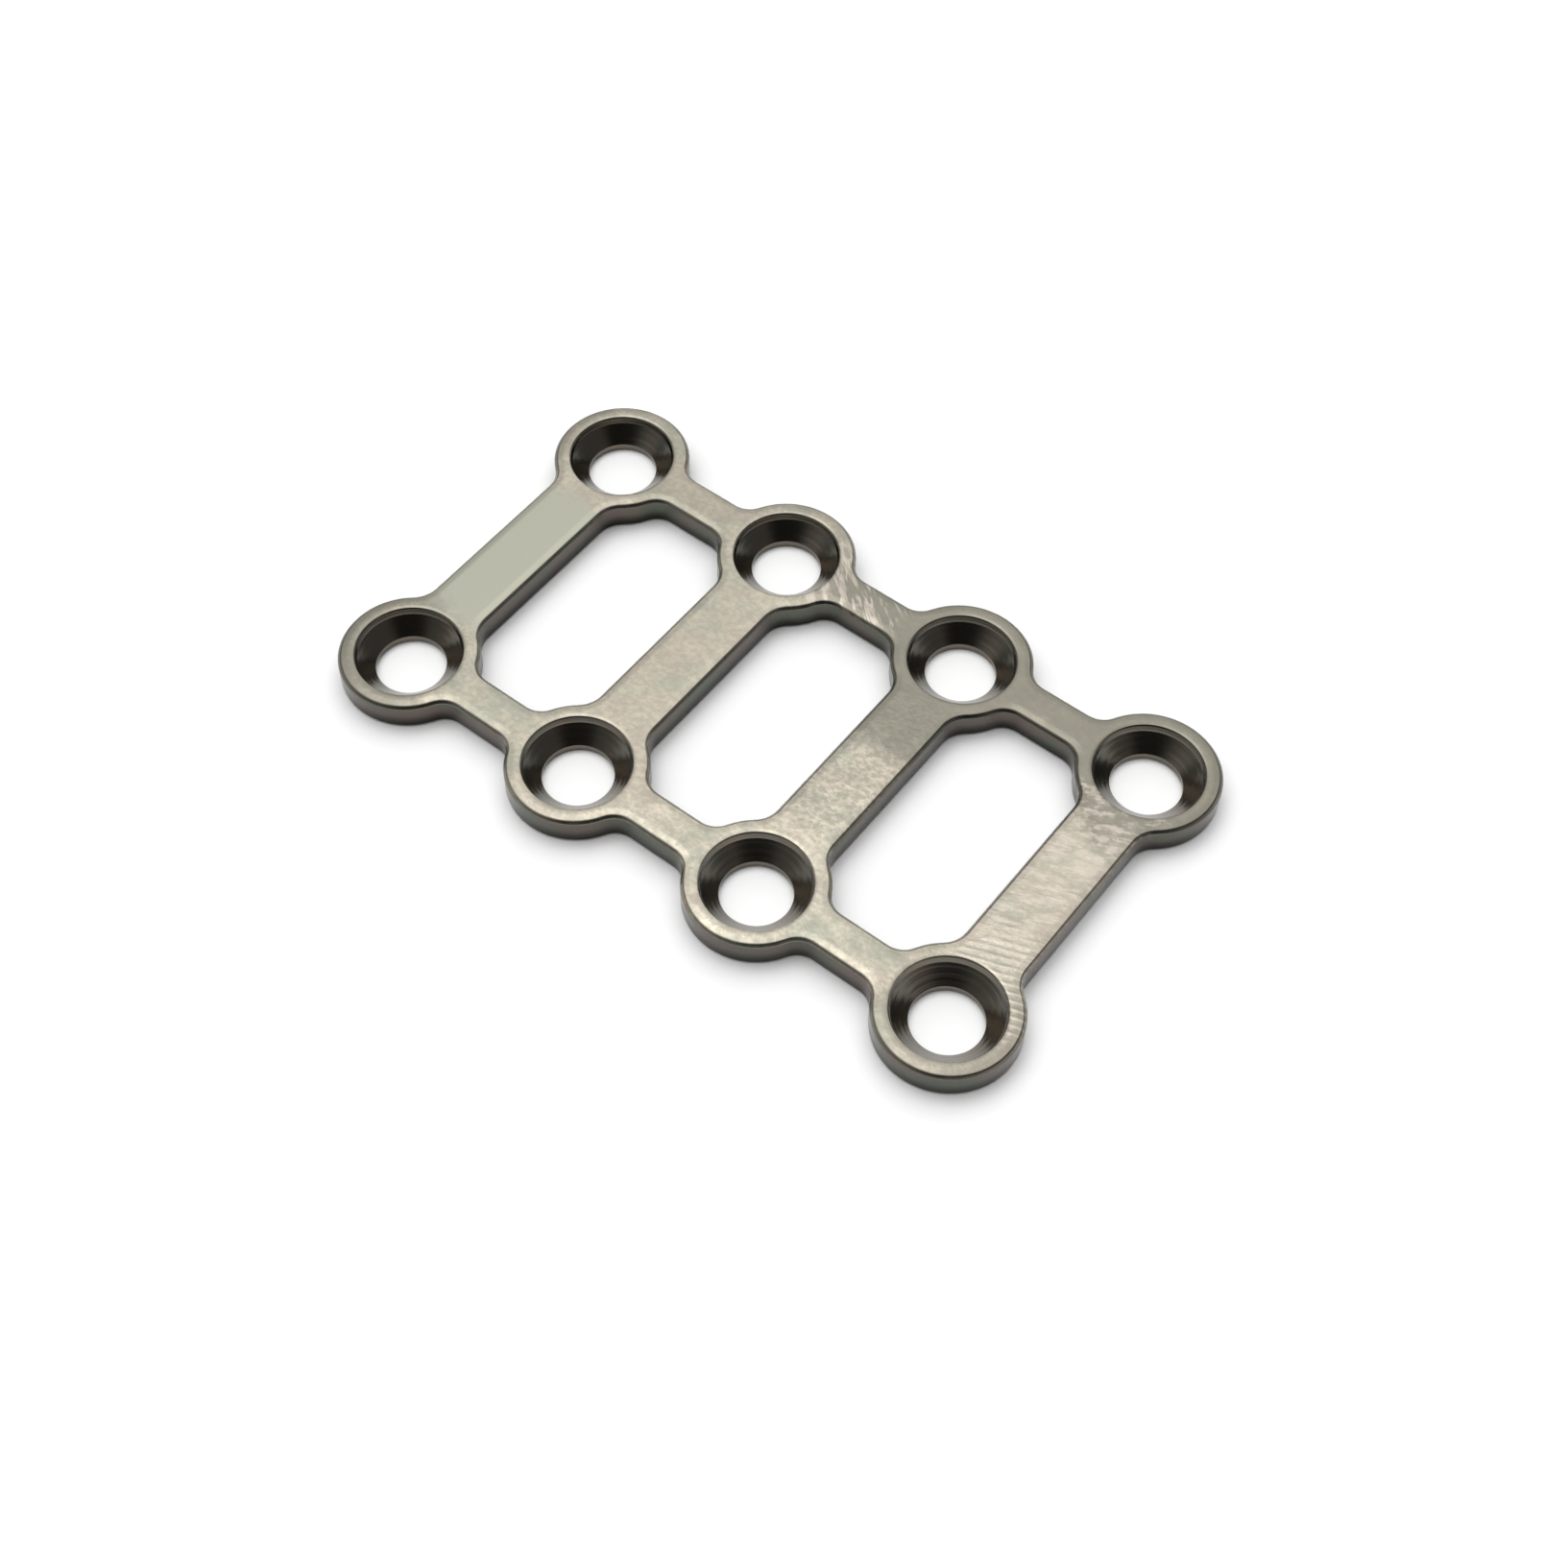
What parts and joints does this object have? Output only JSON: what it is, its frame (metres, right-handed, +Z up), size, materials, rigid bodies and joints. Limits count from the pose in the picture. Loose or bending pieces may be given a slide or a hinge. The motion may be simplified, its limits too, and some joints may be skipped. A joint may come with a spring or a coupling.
{
  "type": "orthopedic bone plate",
  "caption": "Flat ladder-shaped bone plate: round bosses with countersunk screw holes, joined by slim rails and wider rungs around open windows.",
  "frame": {"origin": "centre of the plate's underside, the face that lies on the bone", "axes": "+X along the plate's length, +Y across it, +Z up through the plate to the side that takes the screws"},
  "size_m": [0.0304, 0.018, 0.0012],
  "materials": {
    "titanium": "unalloyed titanium, tumbled to a soft warm-grey satin"
  },
  "bodies": {
    "root": {"bone_plate": "titanium"}
  },
  "joints": []
}
